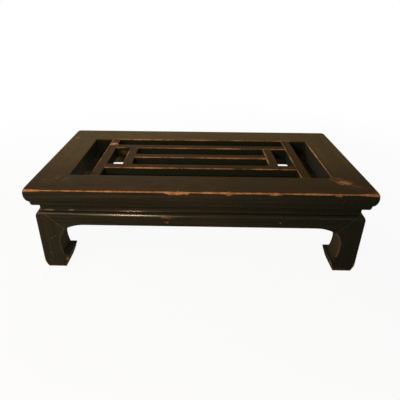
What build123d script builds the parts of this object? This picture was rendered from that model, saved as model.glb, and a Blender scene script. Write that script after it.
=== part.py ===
from build123d import *
import os

# A low waisted kang table with an open lattice top, cut and joined as a joiner would.
# Millimetres. X runs along the table, Y across it (the front is at -Y), Z is up.
# The origin is on the floor, under the middle of the table.
#
# An inset is a distance inwards from the outermost line of the top, on any of the four
# sides. Most sizes of the under-frame are insets, because its mouldings and joints go
# round the table at the same inset on the long sides and on the ends.

# --- Driving dimensions -------------------------------------------------------------

# Whole table
length = 1000.0
depth = 530.0
height = 280.0
fit_clearance = 0.2              # on every cheek and end of a tenon, tongue or key

# Mitred frame of the top
frame_thickness = 56.5
frame_width = 106.0              # the same all round, so the mitres are at 45 degrees
arris_radius = 3.0               # softened edges round the lattice openings

# Moulded edge of the frame, from the top face down
brow_depth = 18.0                # top face down to the outermost line
brow_inset = 7.5                 # edge of the top face
nose_depth = 24.5                # outermost line down to the foot of the nose
nose_inset = 15.0                # foot of the nose
quirk_depth = 1.8                # groove between the nose and the bead below it
bead_inset = 17.5                # edge of the frame's underside
bead_corner_radius = 1.0         # corner of that edge, in plan

# Tenons of the front and back members, in mortises of the left and right members
mitre_tenon_thickness = 18.0
mitre_tenon_width = 60.0
mitre_tenon_shoulder = 12.0      # inner edge of the frame to the tenon
mitre_tenon_cover = 30.0         # wood left between the tenon's end and the table's end

# Lattice
bar_width = 30.0
bar_depth = 38.0
end_slot_width = 61.5            # opening between an end member and its cross bar
corner_opening_width = 51.5      # opening between a cross bar and its upright
bar_tenon_thickness = 10.0
bar_tenon_height = 22.0
bar_tenon_length = 15.0
cross_bar_tenon_length = 25.0

# Waist
waist_inset = 33.0
waist_height = 17.0
tongue_share = 0.4               # thickness of a tongue over that of the waist board
tongue_depth = 5.0

# Aprons
apron_inset = 20.0
apron_thickness = 24.0
apron_height = 50.0
apron_end_run = 60.0             # stretch over which the lower edge sinks to the leg
shoulder_height = 18.0           # sloped shoulder, from the waist down to the face
shoulder_radius = 20.0           # softening of the shoulder's lower arris
groove_place = 0.47              # head of the slope to the groove's middle, over the whole slope
groove_width = 5.0
groove_depth = 1.7
groove_lip_radius = 1.5

# Legs
leg_width = 79.0                 # square, at the foot of the mitre and at the toe
ankle_width = 60.5
toe_height = 43.0
toe_length = 13.0                # from the foot of the hollow out to the toe's edge
toe_fall = 2.0                   # drop of the toe over that length
toe_curl = 12.0                  # radius of the hollow where it runs on to the toe
hoof_swell = 1.0                 # bulge of the hoof beyond a straight line, toe to sole
sole_width = 64.0                # outer face to the inner edge of the sole
sole_radius = 5.0                # edge all round the sole
leg_arris_radius = 3.0           # outer corner of the leg, from the waist down to the heel
heel_radius = 20.0               # rounding of that corner on the floor, as seen from above
heel_height = 24.0               # floor up to where that rounding runs out

# Tenons on the head of a leg
leg_tenon_width = 20.0
leg_tenon_thickness = 16.0
leg_tenon_shoulder = 4.0
long_tenon_length = 36.0
short_tenon_cover = 2.0          # wood between a short tenon and the frame's own tenon

# Embracing-shoulder joint between a leg and its two aprons
key_root_width = 9.0
key_head_width = 13.0
key_depth = 7.0
key_cover = 6.0                  # wood above the key's top end
key_margin = 6.0                 # leg's inner face to the key
triangle_thickness = 8.0         # triangular tongue in the middle of the apron
triangle_foot = 10.0             # its lower edge above the foot of the mitre
triangle_size = 32.0             # its lower edge and its upright edge

# --- Levels and places that follow from them ---------------------------------------

half_length = length / 2
half_depth = depth / 2
frame_bottom = height - frame_thickness
opening_half_length = half_length - frame_width
opening_half_depth = half_depth - frame_width

apron_top = frame_bottom - waist_height
apron_bottom = apron_top - apron_height
core_outer = apron_inset + apron_thickness           # backs of the aprons, and leg cores
core_inner = apron_inset + leg_width                 # inner faces of the legs
mitre_foot = apron_top - (core_inner - waist_inset)  # mitres rise at 45 degrees
ankle_height = (toe_height + mitre_foot) / 2

shoulder_foot = Vector(apron_inset, apron_top - shoulder_height)
shoulder_head = Vector(waist_inset, apron_top)
uphill = (shoulder_head - shoulder_foot).normalized()
groove_middle = shoulder_head + (shoulder_foot - shoulder_head) * groove_place
groove_lips = [groove_middle + uphill * side * groove_width / 2 for side in (-1, 1)]

rail_gap = (2 * opening_half_depth - 3 * bar_width) / 4
rail_y = bar_width + rail_gap                        # middle of a long rail
cross_bar_x = opening_half_length - end_slot_width - bar_width / 2
upright_x = cross_bar_x - bar_width - corner_opening_width

beyond = 20.0                                        # reach of a cutter past the wood


# --- Helpers ------------------------------------------------------------------------

def centred(middle, width):
    """The limits of a width about its middle."""
    return (middle - width / 2, middle + width / 2)


def opposite(limits):
    """The same limits on the other side of the table's middle."""
    return (-limits[1], -limits[0])


def block(x, y, z, clearance=0.0):
    """A box between three pairs of limits, larger all round by a clearance."""
    sides = [(low - clearance, high + clearance) for low, high in (x, y, z)]
    middle = [(low + high) / 2 for low, high in sides]
    return Pos(*middle) * Box(*[high - low for low, high in sides])


def both_ends(part):
    """A part at the right end of the table, with its mirror image at the left end."""
    return part + mirror(part, Plane.YZ)


def both_sides(part):
    """A part at the back of the table, with its mirror image at the front."""
    return part + mirror(part, Plane.XZ)


def on_end(part):
    """A part made for the back of the table, turned to stand at its right end."""
    return Rot(0, 0, -90) * part


def in_corner(part, run=half_length, reach=half_depth):
    """A part drawn in insets from an end and a side, set in the back right corner."""
    return Pos(run, reach, 0) * Rot(0, 0, 180) * part


def swapped(part):
    """A part drawn in insets, with its two insets exchanged."""
    return mirror(part, Plane((0, 0, 0), z_dir=(1, -1, 0)))


def carried_round(outline, corner_inset, corner_radius):
    """A cutter whose section, drawn as inset and level, goes all round the table."""
    path = RectangleRounded(length, depth, corner_inset + corner_radius).wire()
    start = path @ 0
    along = path % 0
    across = Plane(start, x_dir=Vector(0, 0, 1).cross(along), z_dir=along)
    return sweep(across * make_face(outline), path=path)


# --- Lattice ------------------------------------------------------------------------

def bar(x, y):
    """A bar of the lattice from shoulder to shoulder."""
    return block(x, y, (height - bar_depth, height))


def bar_tenons(x, y, clearance):
    """The tenons at both ends of a bar, as one strip that runs right through it."""
    return block(x, y, centred(height - bar_depth / 2, bar_tenon_height), clearance)


def cross_bar_tenons(clearance=0.0):
    reach = opening_half_depth + cross_bar_tenon_length
    return bar_tenons(centred(cross_bar_x, bar_tenon_thickness), (-reach, reach), clearance)


def long_rail_tenons(clearance=0.0):
    reach = cross_bar_x - bar_width / 2 + bar_tenon_length
    return bar_tenons((-reach, reach), centred(rail_y, bar_tenon_thickness), clearance)


def upright_tenons(clearance=0.0):
    reach = rail_y - bar_width / 2 + bar_tenon_length
    return bar_tenons(centred(upright_x, bar_tenon_thickness), (-reach, reach), clearance)


def centre_rail_tenons(clearance=0.0):
    reach = upright_x - bar_width / 2 + bar_tenon_length
    return bar_tenons((-reach, reach), centred(0, bar_tenon_thickness), clearance)


def lattice_openings():
    """The eight openings of the lattice, each as its limits in X and in Y."""
    whole_depth = (-opening_half_depth, opening_half_depth)
    between_rails = (bar_width / 2 - rail_y, rail_y - bar_width / 2)
    between_cross_bars = (bar_width / 2 - cross_bar_x, cross_bar_x - bar_width / 2)
    between_uprights = (bar_width / 2 - upright_x, upright_x - bar_width / 2)
    end_slot = (cross_bar_x + bar_width / 2, opening_half_length)
    corner_opening = (upright_x + bar_width / 2, cross_bar_x - bar_width / 2)
    outer_gap = (rail_y + bar_width / 2, opening_half_depth)
    inner_gap = (bar_width / 2, rail_y - bar_width / 2)
    one_half = [
        (end_slot, whole_depth),
        (corner_opening, between_rails),
        (between_cross_bars, outer_gap),
        (between_uprights, inner_gap),
    ]
    return one_half + [(opposite(x), opposite(y)) for x, y in one_half]


def rounding_waste(x, y):
    """What is taken off the upper arrises round one opening to leave them rounded."""
    rim_width = 2 * arris_radius
    levels = (height - rim_width, height)
    rim = block((x[0] - rim_width, x[1] + rim_width), (y[0] - rim_width, y[1] + rim_width), levels)
    sharp = rim - block(x, y, levels)
    arrises = sharp.faces().sort_by(Axis.Z)[-1].inner_wires()[0].edges()
    return rim - fillet(arrises, arris_radius)


all_rounding_waste = [rounding_waste(x, y) for x, y in lattice_openings()]


def cross_bar():
    part = bar(centred(cross_bar_x, bar_width), (-opening_half_depth, opening_half_depth))
    part += cross_bar_tenons()
    part -= both_sides(long_rail_tenons(fit_clearance))
    return part - all_rounding_waste


def long_rail():
    shoulder = cross_bar_x - bar_width / 2
    part = bar((-shoulder, shoulder), centred(rail_y, bar_width))
    part += long_rail_tenons()
    part -= both_ends(upright_tenons(fit_clearance))
    return part - all_rounding_waste


def upright():
    shoulder = rail_y - bar_width / 2
    part = bar(centred(upright_x, bar_width), (-shoulder, shoulder))
    part += upright_tenons()
    part -= centre_rail_tenons(fit_clearance)
    return part - all_rounding_waste


def centre_rail():
    shoulder = upright_x - bar_width / 2
    part = bar((-shoulder, shoulder), centred(0, bar_width))
    part += centre_rail_tenons()
    return part - all_rounding_waste


# --- Waist --------------------------------------------------------------------------

def corner_to_corner(run, reach, outer, inner, levels):
    """A strip along the back between two insets, mitred in plan at both corners."""
    plan = Polyline(
        (outer - run, reach - outer),
        (run - outer, reach - outer),
        (run - inner, reach - inner),
        (inner - run, reach - inner),
        close=True,
    )
    return Pos(0, 0, levels[0]) * extrude(make_face(plan), amount=levels[1] - levels[0])


def waist_tongues(run, reach, clearance=0.0):
    """The tongues of a waist board, in the frame above and in the apron below."""
    thickness = tongue_share * (core_outer - waist_inset)
    return block(
        (core_inner - run, run - core_inner),
        centred(reach - (waist_inset + core_outer) / 2, thickness),
        (apron_top - tongue_depth, frame_bottom + tongue_depth),
        clearance,
    )


def waist_board(run, reach):
    board = corner_to_corner(run, reach, waist_inset, core_outer, (apron_top, frame_bottom))
    return board + waist_tongues(run, reach)


# --- Legs, and the joint that they share with the aprons ----------------------------
# These are drawn in insets: X is the inset from the end, Y the inset from the side.

def shoulder_line(low):
    """The outer line of leg and apron, from a level up over the sloped shoulder."""
    corners = [(apron_inset, low), shoulder_foot, shoulder_head]
    return FilletPolyline(*corners, radius=shoulder_radius)


def shoulder_groove():
    """The groove along the shoulder, cut square to its slope right round the table."""
    outwards = uphill.rotate(Axis.Z, 90)
    bottom = groove_middle - outwards * groove_depth
    sides = [bottom + (lip - bottom) * 3 for lip in groove_lips]
    return carried_round(Polyline(bottom, *sides, close=True), bottom.X, leg_arris_radius)


def grooved(part):
    """A leg or an apron in its place, with the groove cut and its two lips softened."""
    part -= shoulder_groove()
    levels = [round(lip.Y, 3) for lip in groove_lips]
    lips = part.edges().filter_by(lambda edge: level_of(edge) in levels)
    return fillet(lips, groove_lip_radius)


def level_of(edge):
    """The height of an edge that lies level, or None."""
    heights = {round((edge @ place).Z, 3) for place in (0, 0.5, 1)}
    return heights.pop() if len(heights) == 1 else None


def leg_outline():
    """The leg as seen square on: straight outside, drawn in to an ankle inside."""
    ankle = (apron_inset + ankle_width, ankle_height)
    instep = (core_inner - toe_length, toe_height + toe_fall)
    toe = (core_inner, toe_height)
    sole_inner = (apron_inset + sole_width, 0)
    lines = [
        shoulder_line(0),
        Polyline((waist_inset, apron_top), (core_inner, apron_top), (core_inner, mitre_foot)),
        TangentArc(ankle, (core_inner, mitre_foot), tangent=(0, 1)),
        TangentArc(ankle, instep, tangent=(0, -1)),
        Line(instep, toe),
        SagittaArc(toe, sole_inner, hoof_swell),
        Line(sole_inner, (apron_inset, 0)),
    ]
    outline = fillet(make_face(lines).vertices().sort_by_distance(instep)[0], toe_curl)
    return fillet(outline.vertices().group_by(Axis.Y)[0], sole_radius)


def outer_arrises(part):
    """The edges at the outer corner of a leg, where its two faces meet."""
    edges = part.edges().filter_by(lambda edge: edge.center().X < core_outer)
    return edges.filter_by(lambda edge: all(abs(end.X - end.Y) < 0.001 for end in edge.vertices()))


def heel_waste():
    """What is taken off the outer corner of a leg, more and more towards the floor."""
    centre = apron_inset + heel_radius
    corner = block((0, centre), (0, centre), (0, heel_height))
    spread = heel_radius * (2 ** 0.5 - 1)
    kept = Cone(heel_radius, heel_radius + spread, heel_height)
    return corner - Pos(centre, centre, heel_height / 2) * kept


def apron_space():
    """The room that an apron takes up in front of a leg, beyond its mitre."""
    outline = Polyline(
        (core_inner, mitre_foot),
        (waist_inset - beyond, apron_top + beyond),
        (core_inner + beyond, apron_top + beyond),
        (core_inner + beyond, mitre_foot),
        close=True,
    )
    return Pos(0, core_outer, 0) * extrude(Plane.XZ * make_face(outline), amount=core_outer + beyond)


def hanging_key(clearance=0.0):
    """The dovetailed key on a leg's core, over which the apron drops from above."""
    middle = core_inner - key_margin - key_head_width / 2
    root = key_root_width / 2 + clearance
    head = key_head_width / 2 + clearance
    head_inset = core_outer - key_depth - clearance
    plan = Polyline(
        (middle - root, core_outer),
        (middle + root, core_outer),
        (middle + head, head_inset),
        (middle - head, head_inset),
        close=True,
    )
    rise = apron_top - key_cover + clearance - mitre_foot
    return Pos(0, 0, mitre_foot) * extrude(make_face(plan), amount=rise)


def triangular_tongue(clearance=0.0):
    """The tongue of an apron's mitre. Its lower and upright edges let it drop in."""
    low = mitre_foot + triangle_foot
    near = core_inner - triangle_foot
    far = near - triangle_size
    outline = Polyline(
        (near + clearance, low - clearance),
        (far - clearance, low - clearance),
        (far - clearance, low + triangle_size + clearance),
        close=True,
    )
    thickness = triangle_thickness + 2 * clearance
    limits = centred((apron_inset + core_outer) / 2, thickness)
    return Pos(0, limits[1], 0) * extrude(Plane.XZ * make_face(outline), amount=thickness)


def long_head_tenon(clearance=0.0):
    """The leg's tenon in the front or back member, clear of that member's own tenon."""
    return block(
        (core_inner - leg_tenon_shoulder - leg_tenon_width, core_inner - leg_tenon_shoulder),
        (core_outer + leg_tenon_shoulder, core_outer + leg_tenon_shoulder + leg_tenon_thickness),
        (frame_bottom, frame_bottom + long_tenon_length),
        clearance,
    )


def short_head_tenon(clearance=0.0):
    """The leg's tenon in an end member, stopped below the mortise of the frame's tenon."""
    room = (frame_thickness - mitre_tenon_thickness) / 2
    return block(
        (core_outer + leg_tenon_shoulder, core_outer + leg_tenon_shoulder + leg_tenon_thickness),
        (core_inner - leg_tenon_shoulder - leg_tenon_width, core_inner - leg_tenon_shoulder),
        (frame_bottom, frame_bottom + room - short_tenon_cover),
        clearance,
    )


def leg():
    """A horse-hoof leg, the same outline on both faces, with all its joints."""
    outline = leg_outline()
    part = extrude(Plane.XZ * outline, amount=core_inner + beyond, both=True)
    part &= extrude(Plane.YZ * outline, amount=core_inner + beyond, both=True)
    part = fillet(outer_arrises(part), leg_arris_radius) - heel_waste()
    part -= apron_space()
    part -= swapped(apron_space())
    part += block((core_outer, core_inner), (core_outer, core_inner), (mitre_foot, frame_bottom))
    part += hanging_key() + swapped(hanging_key())
    part -= triangular_tongue(fit_clearance)
    part -= swapped(triangular_tongue(fit_clearance))
    part += long_head_tenon() + short_head_tenon()
    return in_corner(part)


# --- Aprons -------------------------------------------------------------------------

def apron_elevation(run):
    """Half an apron as seen square on: level, then sinking to the foot of its mitre."""
    foot = (run - core_inner, mitre_foot)
    bend = (foot[0] - apron_end_run, apron_bottom)
    return [
        Line((0, apron_bottom), bend),
        TangentArc(bend, foot, tangent=(1, 0)),
        Polyline(foot, (run - waist_inset, apron_top), (0, apron_top), (0, apron_bottom)),
    ]


def apron_section():
    """An apron cut across, as inset and level, with its sloped shoulder."""
    return [
        shoulder_line(mitre_foot),
        Polyline(
            (waist_inset, apron_top),
            (core_outer, apron_top),
            (core_outer, mitre_foot),
            (apron_inset, mitre_foot),
        ),
    ]


def apron(run, reach):
    """The apron at the back of a table that runs so far each way and reaches so far back."""
    elevation = Plane.XZ * make_face(apron_elevation(run))
    part = both_ends(Pos(0, reach, 0) * extrude(elevation, amount=core_outer))
    across = Plane((0, reach, 0), x_dir=(0, -1, 0), z_dir=(-1, 0, 0))
    part &= extrude(across * make_face(apron_section()), amount=run, both=True)
    part &= corner_to_corner(run, reach, 0, core_outer, (mitre_foot, apron_top))
    part += both_ends(in_corner(triangular_tongue(), run, reach))
    part -= both_ends(in_corner(hanging_key(fit_clearance), run, reach))
    part -= waist_tongues(run, reach, fit_clearance)
    return part


# --- Top frame ----------------------------------------------------------------------

def moulding_waste():
    """What the moulding planes take off all round the top."""
    brow = (brow_inset, height)
    widest = (0, height - brow_depth)
    nose_foot = (nose_inset, widest[1] - nose_depth)
    bead_top = (nose_inset - quirk_depth, nose_foot[1])
    bead_foot = (bead_inset, frame_bottom)
    outline = [
        Line((-beyond, height), brow),
        TangentArc(widest, brow, tangent=(0, 1)),
        EllipticalCenterArc((nose_inset, widest[1]), nose_inset, nose_depth, 180, arc_size=90),
        Line(nose_foot, bead_top),
        TangentArc(bead_top, bead_foot, tangent=(0, -1)),
        Polyline(bead_foot, (-beyond, frame_bottom), (-beyond, height)),
    ]
    return carried_round(outline, bead_inset, bead_corner_radius)


def top_ring():
    """The frame in one piece, moulded and mortised, before it is cut at the mitres."""
    ring = block((-half_length, half_length), (-half_depth, half_depth), (frame_bottom, height))
    ring -= moulding_waste()
    ring -= block(
        (-opening_half_length, opening_half_length),
        (-opening_half_depth, opening_half_depth),
        (frame_bottom - beyond, height + beyond),
    )
    ring -= all_rounding_waste
    ring -= both_ends(cross_bar_tenons(fit_clearance))
    ring -= both_sides(waist_tongues(half_length, half_depth, fit_clearance))
    ring -= both_ends(on_end(waist_tongues(half_depth, half_length, fit_clearance)))
    return ring


def mitre_tenon(clearance=0.0):
    """The tenon at the right end of the back member, drawn in as far as the opening."""
    inner_edge = opening_half_depth + mitre_tenon_shoulder
    return block(
        (opening_half_length, half_length - mitre_tenon_cover),
        (inner_edge, inner_edge + mitre_tenon_width),
        centred(frame_bottom + frame_thickness / 2, mitre_tenon_thickness),
        clearance,
    )


def mitre_wedge(*corners):
    """The space between two neighbouring mitres, through the height of the frame."""
    plan = make_face(Polyline(*corners, close=True))
    return Pos(0, 0, frame_bottom) * extrude(plan, amount=frame_thickness)


def frame_members():
    """The back member and the right member, parted at mitres that join the corners."""
    ring = top_ring()
    inner = (opening_half_length, opening_half_depth)
    outer = (half_length + beyond, half_depth + beyond)
    back_wedge = mitre_wedge(inner, outer, (-outer[0], outer[1]), (-inner[0], inner[1]))
    right_wedge = mitre_wedge(inner, outer, (outer[0], -outer[1]), (inner[0], -inner[1]))
    back = (ring & back_wedge) + both_ends(mitre_tenon())
    back -= both_ends(in_corner(long_head_tenon(fit_clearance)))
    right = (ring & right_wedge) - both_sides(mitre_tenon(fit_clearance))
    right -= both_sides(in_corner(short_head_tenon(fit_clearance)))
    return back, right


# --- The whole table ----------------------------------------------------------------

def write(name, part):
    """One piece to one file. Every piece is a single solid."""
    solid = part.solid()
    solid.label = name
    export_step(solid, f"parts/{name}.step")


def write_front_and_back(name, back):
    write(f"{name}_back", back)
    write(f"{name}_front", mirror(back, Plane.XZ))


def write_left_and_right(name, right):
    write(f"{name}_right", right)
    write(f"{name}_left", mirror(right, Plane.YZ))


os.makedirs("parts", exist_ok=True)

frame_back, frame_right = frame_members()
write_front_and_back("frame", frame_back)
write_left_and_right("frame", frame_right)

write_left_and_right("lattice_cross_bar", cross_bar())
write_front_and_back("lattice_long_rail", long_rail())
write_left_and_right("lattice_upright", upright())
write("lattice_centre_rail", centre_rail())

write_front_and_back("waist", waist_board(half_length, half_depth))
write_left_and_right("waist", on_end(waist_board(half_depth, half_length)))

write_front_and_back("apron", grooved(apron(half_length, half_depth)))
write_left_and_right("apron", grooved(on_end(apron(half_depth, half_length))))

back_right_leg = grooved(leg())
write_left_and_right("leg_back", back_right_leg)
write_left_and_right("leg_front", mirror(back_right_leg, Plane.XZ))
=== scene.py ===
import math

import bpy
from mathutils import Matrix, Vector


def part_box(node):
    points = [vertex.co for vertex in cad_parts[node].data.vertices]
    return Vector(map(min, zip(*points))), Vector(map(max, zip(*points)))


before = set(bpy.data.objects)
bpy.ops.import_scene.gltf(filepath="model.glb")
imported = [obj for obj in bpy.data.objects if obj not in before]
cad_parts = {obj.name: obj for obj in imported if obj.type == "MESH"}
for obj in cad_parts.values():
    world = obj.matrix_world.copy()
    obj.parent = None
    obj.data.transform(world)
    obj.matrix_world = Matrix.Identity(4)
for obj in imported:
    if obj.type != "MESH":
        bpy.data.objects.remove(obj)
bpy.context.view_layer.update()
bpy.ops.object.select_all(action="DESELECT")

# Metres. X runs along the table, Y from its front to its back, Z up from the floor.
# An inset is a distance inwards from the outermost line of the top, on any of the four sides.


# --- Sizes, from the frame ---------------------------------------------------------

def lowest(node):
    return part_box(node)[0]


def highest(node):
    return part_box(node)[1]


def middle(node):
    return (lowest(node) + highest(node)) / 2


def arc_radius(across, along):
    """The radius of an arc that starts along a line and strays across from it by its end."""
    return (across ** 2 + along ** 2) / (2 * across)


HALF_LENGTH = highest("frame_right").x
HALF_DEPTH = highest("frame_back").y
TOP = highest("frame_back").z
OPENING_HALF_LENGTH = lowest("frame_right").x
OPENING_HALF_DEPTH = lowest("frame_back").y
CROSS_BAR_X = middle("lattice_cross_bar_right").x
UPRIGHT_X = middle("lattice_upright_right").x
RAIL_Y = middle("lattice_long_rail_back").y
BAR_HALF_WIDTH = highest("lattice_upright_right").x - UPRIGHT_X
FRONT_FACE = lowest("apron_front").y
APRON_INSET = HALF_DEPTH + FRONT_FACE
APRON_TOP = highest("apron_front").z
LIP_DROP = 0.0056                # from the apron's top down to the lip over the shoulder's groove
GROOVE_DROP = 0.0085             # and down to the middle of that groove
MITRE_FOOT = lowest("apron_front").z
APRON_ARCH = 0.016               # rise of the apron's lower edge over the foot of the mitre
LEG_INNER = HALF_LENGTH - lowest("leg_front_right").x

# The leg's inner line runs from the foot of the mitre in to the ankle, and out to the toe.
ANKLE_INSET = APRON_INSET + 0.0605
TOE_HEIGHT = 0.043
TOE_LENGTH = 0.013               # from the foot of the hollow out to the toe
TOE_FALL = 0.002                 # drop of the toe over that length
TOE_SLOPE = 0.35                 # of the hoof's inner line, from the toe in to the sole
ANKLE_HEIGHT = (TOE_HEIGHT + MITRE_FOOT) / 2
KNEE_RADIUS = arc_radius(LEG_INNER - ANKLE_INSET, MITRE_FOOT - ANKLE_HEIGHT)
CALF_RADIUS = arc_radius(LEG_INNER - TOE_LENGTH - ANKLE_INSET, ANKLE_HEIGHT - TOE_HEIGHT - TOE_FALL)
CURL_MIDDLE = (0.0960, 0.0556)   # inset and height of the middle of the hollow above the toe
CURL_RADIUS = 0.012
CURL_TOP = 0.0533                # height at which the calf runs into that hollow

TOP_ARRIS_WEAR = 0.0028          # width of the wear along the arrises round the openings

# How finely the wood's figure is drawn, along its grain and across it
GRAIN_LONG = 2.2
GRAIN_FINE = 95.0
ALONG = (GRAIN_LONG, GRAIN_FINE, GRAIN_FINE)
ACROSS = (GRAIN_FINE, GRAIN_LONG, GRAIN_FINE)
UPRIGHT = (GRAIN_FINE, GRAIN_FINE, GRAIN_LONG)


# --- Colours, shine and relief -----------------------------------------------------

# Lacquer that light and hands have turned brown; lighter towards the back, partly bleached, partly
# painted light
TOP_BROWNS = {
    "plain": (0.0300, 0.0204, 0.0094),
    "red": (0.0350, 0.0205, 0.0094),
    "faded_and_painted_light": (0.0615, 0.0400, 0.0156),
}
BAR_BROWNS = {
    "plain": (0.0275, 0.0160, 0.0054),
    "red": (0.0330, 0.0165, 0.0054),
    "faded_and_painted_light": (0.0395, 0.0233, 0.0080),
}

# Lacquer that kept its black
BLACK_BROWN = (0.0232, 0.0196, 0.0138)
BLACK_BROWN_RED = (0.0285, 0.0188, 0.0135)
# Painted shade on the opening's walls, the waist, the legs' inner faces and towards the right end; also
# the grain's dark streaks
PAINTED_SHADE_AND_STREAK_BLACK = (0.0095, 0.0115, 0.0076)

# Grey of rubbed lacquer, which also lays painted light and painted highlights
RUBBED_GREY_AND_PAINTED_LIGHT = (0.230, 0.160, 0.095)
RUBBED_LACQUER = (0.100, 0.046, 0.018)
BARE_WOOD = (0.235, 0.098, 0.042)
BARE_WOOD_PALE = (0.370, 0.165, 0.070)
DUST = (0.085, 0.068, 0.045)
# Dirt in the joints; in the shoulder's groove it is painted shade
JOINT_DIRT_AND_SHADE = (0.006, 0.005, 0.004)

# Shine of the lacquer
GLOSS = 0.003
GLOSS_TINT = (1.0, 0.62, 0.32)
ROUGHNESS = (0.48, 0.65)         # at its smoothest and at its dullest
WORN_ROUGHER = 0.2               # added to it on bare wood
POLISH_ROUGHNESS = 0.21

RELIEF_DEPTH = 0.0006            # of the grain, the hollows worn in it and the joints
RELIEF_STRENGTH = 0.35

WHITE = (1.0, 1.0, 1.0)
FLOOR_GREY = (0.5, 0.5, 0.5)


# --- Wiring ------------------------------------------------------------------------

def feed(tree, socket, value):
    """Gives a socket its value, or a link to where the value comes from."""
    if isinstance(value, bpy.types.NodeSocket):
        tree.links.new(value, socket)
    else:
        socket.default_value = value


def put(tree, kind, inputs=None, **settings):
    """Adds a node, with its settings and what goes into each input."""
    node = tree.nodes.new(kind)
    for name, value in settings.items():
        setattr(node, name, value)
    for name, value in (inputs or {}).items():
        feed(tree, node.inputs[name], value)
    return node


def reckon(tree, operation, *values):
    """A Math node's result."""
    return put(tree, "ShaderNodeMath", dict(enumerate(values)), operation=operation).outputs[0]


def reckon_vector(tree, operation, *values):
    """A Vector Math node."""
    return put(tree, "ShaderNodeVectorMath", dict(enumerate(values)), operation=operation)


def ramp(tree, value, span, to=(0.0, 1.0)):
    """A value carried smoothly from one span to another, and held at both ends."""
    spans = {"Value": value, "From Min": span[0], "From Max": span[1], "To Min": to[0], "To Max": to[1]}
    return put(tree, "ShaderNodeMapRange", spans, interpolation_type="SMOOTHSTEP").outputs["Result"]


def colour(value):
    """A colour as a socket takes it, opaque, or the socket that it comes from."""
    return value if isinstance(value, bpy.types.NodeSocket) else (*value, 1.0)


def blend(tree, mask, below, above):
    """One colour laid over another by a mask."""
    node = put(tree, "ShaderNodeMix", data_type="RGBA")
    for name, value in {"Factor": mask, "A": colour(below), "B": colour(above)}.items():
        socket = next(socket for socket in node.inputs if socket.name == name and socket.enabled)
        feed(tree, socket, value)
    return next(socket for socket in node.outputs if socket.enabled)


def noise(tree, place, fineness, detail, roughness):
    """Noise from nought to one. The greater its fineness, the closer together its swells."""
    inputs = {"Vector": place, "Scale": fineness, "Detail": detail, "Roughness": roughness}
    return put(tree, "ShaderNodeTexNoise", inputs).outputs["Fac"]


def swing(tree, place, by, fineness, detail, roughness):
    """Noise that swings about nought, from end to end by a given amount."""
    about_nought = reckon(tree, "SUBTRACT", noise(tree, place, fineness, detail, roughness), 0.5)
    return reckon(tree, "MULTIPLY", about_nought, by)


def new_group(name, inputs, outputs):
    """A shader node group, what its named inputs give, and where its named outputs go."""
    group = bpy.data.node_groups.new(name, "ShaderNodeTree")
    for label, kind in inputs.items():
        group.interface.new_socket(label, in_out="INPUT", socket_type=kind)
    for label, kind in outputs.items():
        group.interface.new_socket(label, in_out="OUTPUT", socket_type=kind)
    given = group.nodes.new("NodeGroupInput").outputs
    wanted = group.nodes.new("NodeGroupOutput").inputs
    return group, given, wanted


def use(tree, group, inputs):
    """A group placed in a tree, with what goes into it. Gives the group's outputs."""
    return put(tree, "ShaderNodeGroup", inputs, node_tree=group).outputs


NUMBER = "NodeSocketFloat"
VECTOR = "NodeSocketVector"


# --- Effects that several finishes share -------------------------------------------

def wood_figure():
    """Grain that shows through the lacquer. It runs long where the stretch is small."""
    inputs = {"Place": VECTOR, "Stretch": VECTOR}
    outputs = {"Streaks": NUMBER, "Pores": NUMBER, "Clouds": NUMBER}
    group, given, wanted = new_group("wood_figure", inputs, outputs)
    drawn = reckon_vector(group, "MULTIPLY", given["Place"], given["Stretch"]).outputs[0]
    streaks = noise(group, drawn, fineness=1.0, detail=4.0, roughness=0.62)
    pores = noise(group, drawn, fineness=6.0, detail=2.0, roughness=0.7)
    clouds = noise(group, given["Place"], fineness=7.0, detail=3.0, roughness=0.55)
    feed(group, wanted["Streaks"], streaks)
    feed(group, wanted["Pores"], ramp(group, pores, (0.58, 0.74)))
    feed(group, wanted["Clouds"], clouds)
    return group


def rubbed_line():
    """Wear along a line: full near it, and gone at a width that wanders."""
    inputs = {"Place": VECTOR, "Distance": NUMBER, "Width": NUMBER, "Wander": NUMBER, "Fineness": NUMBER}
    group, given, wanted = new_group("rubbed_line", inputs, {"Mask": NUMBER})
    full_share = 0.5
    least_reach = 0.0006
    place = given["Place"]
    patches = swing(group, place, by=3.4, fineness=given["Fineness"], detail=2.0, roughness=0.6)
    nicks = swing(group, place, by=1.6, fineness=160.0, detail=3.0, roughness=0.65)
    wander = reckon(group, "MULTIPLY", reckon(group, "ADD", patches, nicks), given["Wander"])
    reach = reckon(group, "MULTIPLY", reckon(group, "ADD", 1.0, wander), given["Width"])
    full_until = reckon(group, "MULTIPLY", reach, full_share)
    mask = ramp(group, given["Distance"], (full_until, reach), (1.0, 0.0))
    present = ramp(group, reach, (0.0, least_reach))
    feed(group, wanted["Mask"], reckon(group, "MULTIPLY", mask, present))
    return group


def rubbed_spot():
    """Wear round a point, with a ragged outline."""
    inputs = {"Place": VECTOR, "Centre": VECTOR, "Reach": VECTOR, "Raggedness": NUMBER}
    group, given, wanted = new_group("rubbed_spot", inputs, {"Mask": NUMBER})
    away = reckon_vector(group, "SUBTRACT", given["Place"], given["Centre"]).outputs[0]
    share = reckon_vector(group, "DIVIDE", away, given["Reach"]).outputs[0]
    length = reckon_vector(group, "LENGTH", share).outputs["Value"]
    widest_swing = 2.4
    by = reckon(group, "MULTIPLY", given["Raggedness"], widest_swing)
    ragged = swing(group, given["Place"], by, fineness=130.0, detail=4.0, roughness=0.65)
    mask = ramp(group, reckon(group, "ADD", length, ragged), (0.45, 1.1), (1.0, 0.0))
    feed(group, wanted["Mask"], mask)
    return group


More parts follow.
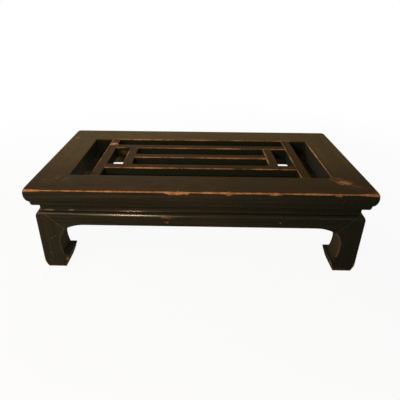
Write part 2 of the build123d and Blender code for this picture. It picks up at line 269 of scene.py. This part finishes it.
def scratches():
    """Fine scuffs drawn out along a direction. The barer the place, the more of them."""
    inputs = {"Along": NUMBER, "Across": NUMBER, "Bareness": NUMBER}
    group, given, wanted = new_group("scratches", inputs, {"Mask": NUMBER})
    fineness_along = 22.0
    fineness_across = 260.0
    start_on_lacquer = 0.66
    earlier_when_bare = 0.3
    softness = 0.13
    drawn = put(group, "ShaderNodeCombineXYZ", {
        "X": reckon(group, "MULTIPLY", given["Along"], fineness_along),
        "Y": reckon(group, "MULTIPLY", given["Across"], fineness_across),
    }).outputs[0]
    marks = noise(group, drawn, fineness=1.0, detail=4.0, roughness=0.68)
    earlier = reckon(group, "MULTIPLY", given["Bareness"], earlier_when_bare)
    start = reckon(group, "SUBTRACT", start_on_lacquer, earlier)
    full = reckon(group, "ADD", start, softness)
    feed(group, wanted["Mask"], ramp(group, marks, (start, full)))
    return group


def arris_distance():
    """How far a point on one of two faces lies from the arris where they meet."""
    faces = {"Off one face": NUMBER, "Off the other": NUMBER}
    group, given, wanted = new_group("arris_distance", faces, {"Distance": NUMBER})
    sizes = [reckon(group, "ABSOLUTE", given[face]) for face in faces]
    feed(group, wanted["Distance"], reckon(group, "MAXIMUM", *sizes))
    return group


FIGURE = wood_figure()
LINE = rubbed_line()
SPOT = rubbed_spot()
SCRATCHES = scratches()
ARRIS = arris_distance()


class Finish:
    """A lacquered finish while it is built: its nodes, where a point of it lies, and its marks.

    Worn, greyed and dirt_and_shade are masks, which grow as a piece's own marks are laid on.
    Greyed also holds painted light and painted highlights, and dirt_and_shade the painted shade
    in the shoulder's groove.
    """

    def __init__(self, name, stretch):
        self.material = bpy.data.materials.new(name)
        self.material.use_nodes = True
        self.tree = self.material.node_tree
        self.tree.nodes.clear()
        self.place = put(self.tree, "ShaderNodeTexCoord").outputs["Object"]
        self.x, self.y, self.z = put(self.tree, "ShaderNodeSeparateXYZ", {"Vector": self.place}).outputs
        self.below = self.off(TOP, self.z)
        self.end = self.size(self.x)
        self.side = self.size(self.y)
        # From the edges of the opening outwards, and from the outermost line of the top inwards
        self.past_end = self.off(self.end, OPENING_HALF_LENGTH)
        self.past_side = self.off(self.side, OPENING_HALF_DEPTH)
        self.end_inset = self.off(HALF_LENGTH, self.end)
        self.side_inset = self.off(HALF_DEPTH, self.side)
        self.inset = self.reckon("MINIMUM", self.end_inset, self.side_inset)
        self.further_inset = self.reckon("MAXIMUM", self.end_inset, self.side_inset)
        self.behind_face = self.off(self.inset, APRON_INSET)
        self.figure = use(self.tree, FIGURE, {"Place": self.place, "Stretch": stretch})
        self.worn = 0.0
        self.greyed = 0.0
        self.dirt_and_shade = 0.0

    # Reckoning

    def reckon(self, operation, *values):
        return reckon(self.tree, operation, *values)

    def times(self, one, other):
        return self.reckon("MULTIPLY", one, other)

    def plus(self, one, other):
        return self.reckon("ADD", one, other)

    def off(self, value, level):
        """How far a value stands above a level."""
        return self.reckon("SUBTRACT", value, level)

    def size(self, value):
        """A value without its sign."""
        return self.reckon("ABSOLUTE", value)

    def ramp(self, value, span, to=(0.0, 1.0)):
        return ramp(self.tree, value, span, to)

    def by_side(self, left, right):
        """One value for the legs at the left, and another for those at the right."""
        no_leg_between = (-0.1, 0.1)
        return self.ramp(self.x, no_leg_between, (left, right))

    def noise(self, fineness, detail, roughness):
        return noise(self.tree, self.place, fineness, detail, roughness)

    # Marks

    def wear(self, mask):
        """Where the lacquer is rubbed through to the wood."""
        self.worn = self.reckon("MAXIMUM", self.worn, mask)

    def grey(self, mask):
        """Where rubbing has greyed the lacquer, and where painted light and painted highlights pale it.
        """
        self.greyed = self.reckon("MAXIMUM", self.greyed, mask)

    def dirt_and_shade_line(self, distance, half_width, strength):
        """Dirt along the line where a distance is nought, and painted shade in the shoulder's groove."""
        softness = 0.6
        edge = (half_width * (1 - softness), half_width * (1 + softness))
        line = self.ramp(self.size(distance), edge, (strength, 0.0))
        self.dirt_and_shade = self.reckon("MAXIMUM", self.dirt_and_shade, line)

    def rub(self, distance, width, wander, fineness, strength):
        """Wear along the line where a distance is nought."""
        line = use(self.tree, LINE, {
            "Place": self.place,
            "Distance": distance,
            "Width": width,
            "Wander": wander,
            "Fineness": fineness,
        })
        self.wear(self.times(line["Mask"], strength))

    def arris(self, one, other, width, wander, fineness, strength):
        """Wear along the arris where two distances are both nought."""
        distance = use(self.tree, ARRIS, {"Off one face": one, "Off the other": other})["Distance"]
        self.rub(distance, width, wander, fineness, strength)

    def spot_mask(self, centre, reach, raggedness):
        inputs = {"Place": self.place, "Centre": centre, "Reach": reach, "Raggedness": raggedness}
        return use(self.tree, SPOT, inputs)["Mask"]

    def spot(self, centre, reach, raggedness, strength):
        """Wear round a point."""
        self.wear(self.times(self.spot_mask(centre, reach, raggedness), strength))

    def grey_spot(self, centre, reach, raggedness, strength):
        self.grey(self.times(self.spot_mask(centre, reach, raggedness), strength))

    def scratch_mask(self, centre, reach, bareness, strength):
        """Scuffs along the mitre of the top, thinning out round a point."""
        along = self.plus(self.end, self.side)
        across = self.off(self.end, self.side)
        marks = use(self.tree, SCRATCHES, {"Along": along, "Across": across, "Bareness": bareness})
        near = self.spot_mask(centre, reach, raggedness=0.5)
        return self.times(self.times(marks["Mask"], near), strength)

    # Layers

    def lacquer(self, browned, browns, shaded, streaked):
        """The lacquer's colour: brown or black, clouded, streaked by the grain and dusty, with painted
        shade and painted light laid in.
        """
        streaked_when_brown = 0.22
        clouds = self.ramp(self.figure["Clouds"], (0.36, 0.66))
        brown = blend(self.tree, clouds, browns["plain"], browns["red"])
        # Lighter towards the back: partly bleached lacquer, partly painted light for the sheen that the
        # back catches
        brown = blend(self.tree, self.ramp(self.y, (-0.25, 0.05)), brown, browns["faded_and_painted_light"])
        black = blend(self.tree, clouds, BLACK_BROWN, BLACK_BROWN_RED)
        # Painted shade: the black darkens towards the right end, away from the lamps
        painted_shade_at_right = self.ramp(self.x, (-0.05, 0.38), (0.0, 0.72))
        black = blend(self.tree, painted_shade_at_right, black, PAINTED_SHADE_AND_STREAK_BLACK)
        surface = blend(self.tree, browned, black, brown)
        # Painted shade, where the shaded mask is set
        surface = blend(self.tree, shaded, surface, PAINTED_SHADE_AND_STREAK_BLACK)
        depth = self.ramp(browned, (0.0, 1.0), (streaked, streaked_when_brown))
        streaks = self.times(self.ramp(self.figure["Streaks"], (0.36, 0.68)), depth)
        surface = blend(self.tree, streaks, surface, PAINTED_SHADE_AND_STREAK_BLACK)
        specks = self.noise(fineness=240.0, detail=2.0, roughness=0.6)
        specks = self.ramp(specks, (0.62, 0.74), (0.0, 0.3))
        return blend(self.tree, specks, surface, DUST)

    def bare_wood(self):
        """The wood's colour: pale between its pores, and darker in patches."""
        bare = blend(self.tree, self.figure["Pores"], BARE_WOOD_PALE, BARE_WOOD)
        patches = self.noise(fineness=45.0, detail=3.0, roughness=0.5)
        return blend(self.tree, self.ramp(patches, (0.4, 0.62)), BARE_WOOD, bare)

    def marked(self, surface):
        """The marks laid over the lacquer's colour. A halo of thin lacquer goes round bare wood."""
        surface = blend(self.tree, self.greyed, surface, RUBBED_GREY_AND_PAINTED_LIGHT)
        halo = self.ramp(self.worn, (0.0, 0.45), (0.0, 0.75))
        surface = blend(self.tree, halo, surface, RUBBED_LACQUER)
        surface = blend(self.tree, self.ramp(self.worn, (0.3, 0.85)), surface, self.bare_wood())
        return blend(self.tree, self.dirt_and_shade, surface, JOINT_DIRT_AND_SHADE)

    def relief(self):
        """The fine relief of grain, worn hollows and open joints, as a normal."""
        ridge_height = 0.35
        pore_depth = 0.25
        worn_depth = 0.5
        ridges = self.times(self.figure["Streaks"], ridge_height)
        grain = self.off(ridges, self.times(self.figure["Pores"], pore_depth))
        hollows = self.plus(self.times(self.worn, worn_depth), self.dirt_and_shade)
        return put(self.tree, "ShaderNodeBump", {
            "Height": self.off(grain, hollows),
            "Strength": RELIEF_STRENGTH,
            "Distance": RELIEF_DEPTH,
        }).outputs["Normal"]

    def build(self, browned=0.0, browns=TOP_BROWNS, shaded=0.0, streaked=0.8, polish=0.0):
        """Builds the material. Browned, shaded and polish are masks, of lacquer that has turned
        brown, of painted shade and of a shine from hands. Streaked is how strongly black lacquer
        shows the grain."""
        scuffed = self.noise(fineness=28.0, detail=4.0, roughness=0.6)
        scuffed = self.ramp(scuffed, (0.3, 0.75), ROUGHNESS)
        shader = put(self.tree, "ShaderNodeBsdfPrincipled", {
            "Base Color": self.marked(self.lacquer(browned, browns, shaded, streaked)),
            "Roughness": self.plus(scuffed, self.times(self.worn, WORN_ROUGHER)),
            "Normal": self.relief(),
            "Specular IOR Level": GLOSS,
            "Specular Tint": colour(GLOSS_TINT),
            "Coat Weight": polish,
            "Coat Roughness": POLISH_ROUGHNESS,
        })
        put(self.tree, "ShaderNodeOutputMaterial", {"Surface": shader.outputs["BSDF"]})
        return self.material


# --- Finish of the top frame -------------------------------------------------------

def rim_wear(finish, round_the_brow):
    """Bare wood along the brow of the moulding, widest towards the two front corners."""
    on_end = finish.ramp(finish.off(finish.end_inset, finish.side_inset), (0.002, -0.002))
    on_long_side = finish.times(
        finish.ramp(finish.x, (-0.22, 0.0), (0.0034, 0.0044)),
        finish.ramp(finish.x, (0.08, 0.25), (1.0, 0.78)),
    )
    on_short_side = finish.ramp(finish.y, (0.05, -0.2), (0.0016, 0.0034))
    width = finish.ramp(on_end, (0.0, 1.0), (on_long_side, on_short_side))
    at_corner = finish.ramp(finish.further_inset, (0.070, 0.012), (0.0, 0.0032))
    at_front = finish.ramp(finish.y, (0.0, -0.1))
    width = finish.plus(width, finish.times(at_corner, at_front))
    patchy = finish.noise(fineness=38.0, detail=3.0, roughness=0.6)
    patchy = finish.ramp(patchy, (0.34, 0.62), (0.8, 1.0))
    less_at_left = finish.ramp(finish.x, (-0.25, -0.05), (0.84, 1.0))
    less_at_right = finish.ramp(finish.x, (0.12, 0.30), (1.0, 0.90))
    strength = finish.times(finish.times(patchy, less_at_left), less_at_right)
    centre_line = finish.ramp(on_end, (0.0, 1.0), (0.0028, 0.0044))
    from_rim = finish.size(finish.off(round_the_brow, centre_line))
    finish.rub(from_rim, width, wander=0.6, fineness=11.0, strength=strength)


def rim_knocks(finish):
    """Knocks in the front rim, each with its own place and size."""
    front = -HALF_DEPTH + 0.003
    height = TOP - 0.004
    for x, reach, raggedness, strength in (
        (-0.064, (0.042, 0.012, 0.0052), 0.9, 0.9),
        (0.080, (0.020, 0.010, 0.0046), 1.1, 0.8),
        (0.204, (0.024, 0.010, 0.0042), 1.1, 0.8),
        (0.383, (0.016, 0.010, 0.0040), 1.1, 0.7),
    ):
        finish.spot((x, front, height), reach, raggedness, strength)


def opening_wear(finish, past_opening):
    """Wear along the arris of the opening, most along the back and the right."""
    at_back = finish.ramp(finish.off(finish.y, OPENING_HALF_DEPTH), (-0.009, -0.001))
    past_cross_bar = finish.off(finish.end, CROSS_BAR_X + BAR_HALF_WIDTH)
    less_by_the_slots = finish.ramp(past_cross_bar, (-0.0075, 0.0075), (1.0, 0.3))
    at_right = finish.ramp(finish.off(finish.x, OPENING_HALF_LENGTH), (-0.014, -0.002))
    most = finish.reckon("MAXIMUM", finish.times(at_back, less_by_the_slots), at_right)
    strength = finish.ramp(most, (0.0, 1.0), (0.25, 0.9))
    finish.arris(past_opening, finish.below, TOP_ARRIS_WEAR, wander=1.1, fineness=11.0, strength=strength)


def opening_walls(finish, past_opening):
    """Painted shade on the opening's sides below the top, a little less at the right end, and
    painted light on the left end's side, where light falls in. Gives the mask of the painted shade.
    """
    on_wall = finish.ramp(past_opening, (0.004, 0.002))
    # Painted shade on the opening's sides, below the top
    black = finish.times(on_wall, finish.ramp(finish.below, (0.002, 0.006)))
    less_at_right = finish.ramp(finish.off(finish.x, OPENING_HALF_LENGTH), (-0.009, -0.001), (1.0, 0.8))
    at_left = finish.ramp(finish.plus(finish.x, OPENING_HALF_LENGTH), (0.009, 0.001))
    lit = finish.times(
        finish.ramp(finish.y, (0.03, -0.05), (0.02, 0.10)),
        finish.ramp(finish.below, (0.004, 0.008)),
    )
    # Painted light on the left end's side, where light falls in
    finish.grey(finish.times(finish.times(on_wall, at_left), lit))
    return finish.times(black, less_at_right)


def mitre_marks(finish, past_mitre):
    """Dirt in the mitres, scuffs across the two at the front, and a bare spot at the left."""
    finish.dirt_and_shade_line(past_mitre, half_width=0.0004, strength=0.6)
    at_right = finish.ramp(finish.x, (0.39, 0.41), (0.0, 0.5))
    rubbed = finish.times(at_right, finish.ramp(finish.y, (-0.15, -0.17)))
    finish.rub(finish.size(past_mitre), width=0.0016, wander=1.6, fineness=40.0, strength=rubbed)
    for centre, reach, bareness, strength in (
        ((0.403, -0.168, TOP), (0.028, 0.018, 0.02), 0.7, 0.55),
        ((0.419, -0.191, TOP), (0.030, 0.022, 0.02), 0.9, 0.65),
        ((0.448, -0.222, TOP), (0.040, 0.020, 0.02), 0.5, 0.5),
    ):
        finish.wear(finish.scratch_mask(centre, reach, bareness, strength))
    front_left = (-0.420, -0.192, TOP)
    finish.grey(finish.scratch_mask(front_left, (0.055, 0.036, 0.02), bareness=0.45, strength=0.42))
    finish.spot((-0.471, 0.169, TOP), (0.010, 0.009, 0.01), raggedness=0.9, strength=0.7)


def frame_finish(name, stretch):
    """The mitred frame: brown on top, black on its moulding, with painted shade in its opening."""
    finish = Finish(name, stretch)
    # Along the moulding's section this grows all the way from the nose to the top face.
    round_the_brow = finish.off(finish.inset, finish.below)
    past_opening = finish.reckon("MAXIMUM", finish.past_end, finish.past_side)
    past_mitre = finish.off(finish.past_end, finish.past_side)
    rim_wear(finish, round_the_brow)
    rim_knocks(finish)
    opening_wear(finish, past_opening)
    mitre_marks(finish, past_mitre)
    on_top = finish.ramp(round_the_brow, (0.002, 0.009))
    return finish.build(browned=on_top, shaded=opening_walls(finish, past_opening))


# --- Finish of the lattice ---------------------------------------------------------

def bar_finish(finish, from_middle, strengths, wander):
    """A bar of the lattice, worn along its two upper arrises. From_middle is how far a point
    lies from the middle line of the nearest bar."""
    for edge, strength in zip((-BAR_HALF_WIDTH, BAR_HALF_WIDTH), strengths):
        past_edge = finish.off(from_middle, edge)
        finish.arris(past_edge, finish.below, TOP_ARRIS_WEAR, wander, fineness=10.0, strength=strength)
    finish.spot((-0.326, 0.106, TOP), (0.030, 0.017, 0.010), raggedness=1.1, strength=0.8)
    finish.spot((-0.274, 0.072, 0.260), (0.016, 0.006, 0.011), raggedness=1.1, strength=0.28)
    left_upright_edge = (-UPRIGHT_X - BAR_HALF_WIDTH, 0.0, TOP)
    finish.spot(left_upright_edge, (0.004, 0.085, 0.004), raggedness=0.4, strength=0.8)
    # Painted shade on the bar's sides, below the top
    painted_shade_walls = finish.ramp(finish.below, (0.002, 0.006))
    return finish.build(browned=0.9, browns=BAR_BROWNS, shaded=painted_shade_walls)


def rail_finish():
    """The centre rail and the two long rails, which lie at even steps."""
    finish = Finish("rail_lacquer", ALONG)
    half_step = RAIL_Y / 2
    from_middle = finish.reckon("WRAP", finish.y, half_step, -half_step)
    return bar_finish(finish, from_middle, strengths=(0.9, 0.15), wander=1.1)


def cross_bar_finish():
    """The cross bars and the uprights, an even step apart at either end."""
    finish = Finish("cross_bar_lacquer", ACROSS)
    half_step = (CROSS_BAR_X - UPRIGHT_X) / 2
    outwards = finish.reckon("WRAP", finish.off(finish.end, UPRIGHT_X), half_step, -half_step)
    from_middle = finish.times(outwards, finish.reckon("SIGN", finish.x))
    return bar_finish(finish, from_middle, strengths=(0.6, 0.3), wander=1.9)


# --- Finishes of the under-frame ---------------------------------------------------

def waist_finish(name, stretch):
    """The waist, out of reach of hands, with painted shade where the top keeps light off it."""
    return Finish(name, stretch).build(shaded=0.5)


def shoulder(finish):
    """Painted shade in the shoulder's groove, a painted highlight greying the rounded arris under it,
    strongest at the left end, and a shine from hands on the lip over the groove and on that arris.
    Gives the mask of the shine."""
    down = finish.off(APRON_TOP, finish.z)
    # Painted shade darkens the shoulder's groove
    finish.dirt_and_shade_line(finish.off(down, GROOVE_DROP), half_width=0.0016, strength=0.85)
    off_lip = finish.size(finish.off(down, LIP_DROP))
    arris_down = finish.ramp(finish.x, (-0.45, -0.15), (0.0138, 0.0172))
    off_arris = finish.size(finish.off(down, arris_down))
    # Painted highlight: a grey line on the rounded arris under the groove, strongest at the left end
    rubbed = finish.ramp(off_arris, (0.0018, 0.0004))
    finish.grey(finish.times(rubbed, finish.ramp(finish.x, (0.15, -0.35), (0.03, 0.25))))
    brightest_x = -0.195
    from_brightest = finish.size(finish.off(finish.x, brightest_x))
    lip_shine = finish.times(
        finish.ramp(off_lip, (0.0020, 0.0012)),
        finish.ramp(from_brightest, (0.045, 0.010), (0.22, 1.0)),
    )
    arris_shine = finish.ramp(off_arris, (0.0026, 0.0016), (0.0, 0.80))
    shine = finish.reckon("MAXIMUM", arris_shine, lip_shine)
    handled_from = finish.ramp(finish.x, (-0.41, -0.23), (0.16, 1.0))
    handled_to = finish.ramp(finish.x, (-0.02, -0.14), (0.1, 1.0))
    return finish.times(shine, finish.reckon("MINIMUM", handled_from, handled_to))


def apron_finish(name, stretch):
    """The aprons: lightly worn along the lower edge, knocked on the face, paler on the back: painted
    light for the light that reaches under the table, and a plainer lacquer there.
    """
    finish = Finish(name, stretch)
    past_edge = finish.off(finish.z, MITRE_FOOT + APRON_ARCH)
    level_run = finish.ramp(finish.further_inset, (0.16, 0.18), (0.0, 0.4))
    finish.arris(
        past_edge, finish.behind_face,
        width=0.0007, wander=1.3, fineness=12.0, strength=level_run,
    )
    # Painted highlight: pale dashes on the lip over the groove, near the left end
    for x, reach in ((-0.440, 0.018), (-0.374, 0.010)):
        finish.grey_spot((x, -0.236, 0.2015), (reach, 0.012, 0.0024), raggedness=0.8, strength=0.4)
    for x, z, reach, raggedness, strength in (
        (-0.095, 0.186, (0.016, 0.010, 0.004), 2.6, 0.42),
        (-0.096, 0.170, (0.006, 0.010, 0.004), 2.6, 0.40),
        (0.235, 0.173, (0.004, 0.010, 0.003), 0.6, 0.6),
    ):
        finish.spot((x, FRONT_FACE, z), reach, raggedness, strength)
    # Painted light on the aprons' back faces, with a plainer lacquer there
    finish.grey(finish.ramp(finish.inset, (0.040, 0.0435), (0.0, 0.2)))
    return finish.build(polish=shoulder(finish))


def scoop_inset(finish):
    """The inset of the leg's inner line at a point's height, from the knee down the calf."""
    above = finish.off(finish.z, ANKLE_HEIGHT)
    squared = finish.times(above, above)
    knee, calf = [
        finish.off(ANKLE_INSET + radius, finish.reckon("SQRT", finish.off(radius ** 2, squared)))
        for radius in (KNEE_RADIUS, CALF_RADIUS)
    ]
    in_knee = finish.reckon("GREATER_THAN", above, 0.0)
    return finish.plus(calf, finish.times(in_knee, finish.off(knee, calf)))


def inner_line_wear(finish):
    """Wear along the leg's inner line: the knee and calf, the hollow over the toe, the hoof."""
    scoop = finish.off(finish.further_inset, scoop_inset(finish))
    across = finish.off(finish.further_inset, CURL_MIDDLE[0])
    up = finish.off(finish.z, CURL_MIDDLE[1])
    squared = finish.plus(finish.times(across, across), finish.times(up, up))
    curl = finish.off(finish.reckon("SQRT", squared), CURL_RADIUS)
    hoof_inset = finish.off(LEG_INNER, finish.times(finish.off(TOE_HEIGHT, finish.z), TOE_SLOPE))
    hoof = finish.off(finish.further_inset, hoof_inset)
    above_curl = finish.ramp(finish.z, (CURL_TOP - 0.001, CURL_TOP + 0.001))
    below_curl = finish.off(1.0, above_curl)
    below_toe = finish.ramp(finish.z, (TOE_HEIGHT + 0.001, TOE_HEIGHT - 0.001))
    hollow_strength = finish.by_side(0.22, 0.28)
    for past_line, where, width, wander, strength in (
        (scoop, above_curl, 0.0011, 0.4, hollow_strength),
        (curl, below_curl, 0.0011, 0.4, hollow_strength),
        (hoof, below_toe, 0.0022, 0.5, finish.by_side(0.22, 0.55)),
    ):
        strength = finish.times(where, strength)
        finish.arris(past_line, finish.behind_face, width, wander, fineness=12.0, strength=strength)
    from_scoop = finish.reckon("MAXIMUM", finish.size(scoop), finish.size(finish.behind_face))
    greyed = finish.times(finish.ramp(from_scoop, (0.0070, 0.0010)), finish.by_side(0.07, 0.28))
    finish.grey(finish.times(greyed, above_curl))


def sole_wear(finish):
    """Wear round the sole, above it, and up the outer corner of the foot."""
    finish.rub(finish.z, width=0.0075, wander=0.5, fineness=16.0, strength=0.42)
    finish.rub(finish.z, width=0.0170, wander=0.5, fineness=16.0, strength=finish.by_side(0.08, 0.24))
    off_corner = finish.size(finish.off(finish.end_inset, finish.side_inset))
    outside = finish.plus(off_corner, finish.behind_face)
    low = finish.ramp(finish.z, (0.05, 0.01))
    finish.rub(outside, width=0.0060, wander=1.0, fineness=12.0, strength=low)


def leg_finish():
    """The legs, with the shoulder carried round their corners."""
    finish = Finish("leg_lacquer", UPRIGHT)
    sole_wear(finish)
    inner_line_wear(finish)
    past_mitre = finish.off(finish.plus(finish.further_inset, finish.z), LEG_INNER + MITRE_FOOT)
    on_mitre = finish.ramp(finish.size(past_mitre), (0.0016, 0.0004))
    finish.grey(finish.times(on_mitre, finish.by_side(0.42, 0.2)))
    for x, z in ((-0.445, 0.109), (-0.433, 0.115), (-0.456, 0.055), (-0.460, 0.028)):
        finish.grey_spot((x, FRONT_FACE, z), (0.0035, 0.010, 0.0028), raggedness=1.8, strength=0.16)
    finish.spot((-0.407, -0.240, 0.030), (0.006, 0.020, 0.010), raggedness=1.2, strength=0.6)
    in_hollow = finish.ramp(finish.inset, (0.022, 0.030))
    over_toe = finish.ramp(finish.off(finish.z, finish.by_side(0.055, 0.035)), (0.0, 0.020))
    finish.grey(finish.times(finish.times(in_hollow, over_toe), finish.by_side(0.16, 0.12)))
    # Painted shade on the legs' inner faces, most at the right
    painted_shade_inside = finish.times(finish.ramp(finish.inset, (0.042, 0.060)), finish.by_side(0.1, 0.6))
    return finish.build(shaded=painted_shade_inside, streaked=0.6, polish=shoulder(finish))


# --- The finish of each piece ------------------------------------------------------

def dress(finish, *pieces):
    """Gives pieces their finish, in whatever slot each of them has."""
    for piece in pieces:
        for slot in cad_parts[piece].material_slots:
            slot.material = finish


dress(frame_finish("frame_lacquer_along", ALONG), "frame_front", "frame_back")
dress(frame_finish("frame_lacquer_across", ACROSS), "frame_left", "frame_right")
dress(rail_finish(), "lattice_long_rail_front", "lattice_long_rail_back", "lattice_centre_rail")
dress(
    cross_bar_finish(),
    "lattice_cross_bar_left", "lattice_cross_bar_right", "lattice_upright_left", "lattice_upright_right",
)
dress(waist_finish("waist_lacquer_along", ALONG), "waist_front", "waist_back")
dress(waist_finish("waist_lacquer_across", ACROSS), "waist_left", "waist_right")
dress(apron_finish("apron_lacquer_along", ALONG), "apron_front", "apron_back")
dress(apron_finish("apron_lacquer_across", ACROSS), "apron_left", "apron_right")
dress(leg_finish(), "leg_front_left", "leg_front_right", "leg_back_left", "leg_back_right")


# --- Room, light and camera --------------------------------------------------------

def pale_floor():
    """A grey floor that is seen almost white, and quite white far off, and keeps the shadow."""
    side = 12.0
    fade = (0.7, 2.2)
    whiteness = (0.93, 1.0)
    bpy.ops.mesh.primitive_plane_add(size=side, location=(0.0, 0.0, 0.0))
    floor = bpy.context.object
    floor.name = "floor"
    bpy.ops.object.select_all(action="DESELECT")
    material = bpy.data.materials.new("pale_floor")
    material.use_nodes = True
    tree = material.node_tree
    tree.nodes.clear()
    plain = put(tree, "ShaderNodeBsdfDiffuse", {"Color": colour(FLOOR_GREY)})
    white = put(tree, "ShaderNodeEmission", {"Color": colour(WHITE), "Strength": 1.0})
    rays = put(tree, "ShaderNodeLightPath").outputs
    seen = reckon(tree, "MAXIMUM", rays["Is Camera Ray"], rays["Is Glossy Ray"])
    place = put(tree, "ShaderNodeTexCoord").outputs["Object"]
    away = reckon_vector(tree, "LENGTH", place).outputs["Value"]
    share = reckon(tree, "MULTIPLY", seen, ramp(tree, away, fade, whiteness))
    mixed = put(tree, "ShaderNodeMixShader", {0: share, 1: plain.outputs[0], 2: white.outputs[0]})
    put(tree, "ShaderNodeOutputMaterial", {"Surface": mixed.outputs[0]})
    floor.data.materials.append(material)


def pale_room():
    """A room that is seen white, and lights the table less than that."""
    strength_on_table = 0.32
    world = bpy.data.worlds.new("pale_room")
    bpy.context.scene.world = world
    world.use_nodes = True
    tree = world.node_tree
    tree.nodes.clear()
    rays = put(tree, "ShaderNodeLightPath").outputs
    seen = reckon(tree, "MAXIMUM", rays["Is Camera Ray"], rays["Is Glossy Ray"])
    seen = reckon(tree, "MAXIMUM", seen, rays["Is Transmission Ray"])
    strength = ramp(tree, seen, (0.0, 1.0), (strength_on_table, 1.0))
    light = put(tree, "ShaderNodeBackground", {"Color": colour(WHITE), "Strength": strength})
    put(tree, "ShaderNodeOutputWorld", {"Surface": light.outputs[0]})


def soft_lamp(name, place, aim, size, watts, warmth):
    """A lamp with a lit rectangle for its face, turned to a point of the table."""
    data = bpy.data.lights.new(name, "AREA")
    data.shape = "RECTANGLE"
    data.size = size[0]
    data.size_y = size[1]
    data.energy = watts
    data.color = warmth
    lamp = bpy.data.objects.new(name, data)
    lamp.location = place
    lamp.rotation_euler = (Vector(aim) - Vector(place)).to_track_quat("-Z", "Y").to_euler()
    bpy.context.scene.collection.objects.link(lamp)


def add_camera():
    """The view, by the place and the angles of a camera on a tripod, and by its lens."""
    place = (-0.00306, -1.12742, 0.74317)
    # Radians
    tilt = 0.45887
    pan = 0.01489
    roll = 0.00726
    # Pixels of a square frame
    frame_side = 400.0
    focal_length = 357.88
    optical_middle = (194.33, 180.70)
    # Millimetres
    sensor = 36.0
    data = bpy.data.cameras.new("camera")
    data.sensor_fit = "HORIZONTAL"
    data.sensor_width = sensor
    data.lens = sensor * focal_length / frame_side
    data.shift_x = (frame_side / 2 - optical_middle[0]) / frame_side
    data.shift_y = (optical_middle[1] - frame_side / 2) / frame_side
    camera = bpy.data.objects.new("camera", data)
    aimed = Matrix.Rotation(pan, 4, "Z") @ Matrix.Rotation(math.pi / 2 - tilt, 4, "X")
    camera.matrix_world = Matrix.Translation(place) @ aimed @ Matrix.Rotation(roll, 4, "Z")
    bpy.context.scene.collection.objects.link(camera)
    bpy.context.scene.camera = camera


pale_floor()
pale_room()
soft_lamp(
    "lamp_behind", place=(-0.60, 1.70, 1.50), aim=(0.0, 0.0, 0.25),
    size=(1.3, 1.0), watts=44.0, warmth=(1.0, 0.96, 0.90),
)
soft_lamp(
    "lamp_side", place=(-1.30, -1.10, 1.00), aim=(0.0, 0.0, 0.20),
    size=(0.9, 0.9), watts=12.0, warmth=(1.0, 0.84, 0.74),
)
soft_lamp(
    "lamp_front", place=(-0.39, -1.25, 0.728), aim=(-0.20, -0.25, 0.20),
    size=(0.16, 0.06), watts=8.7, warmth=(1.0, 0.80, 0.42),
)
add_camera()
bpy.context.scene.view_settings.view_transform = "Standard"
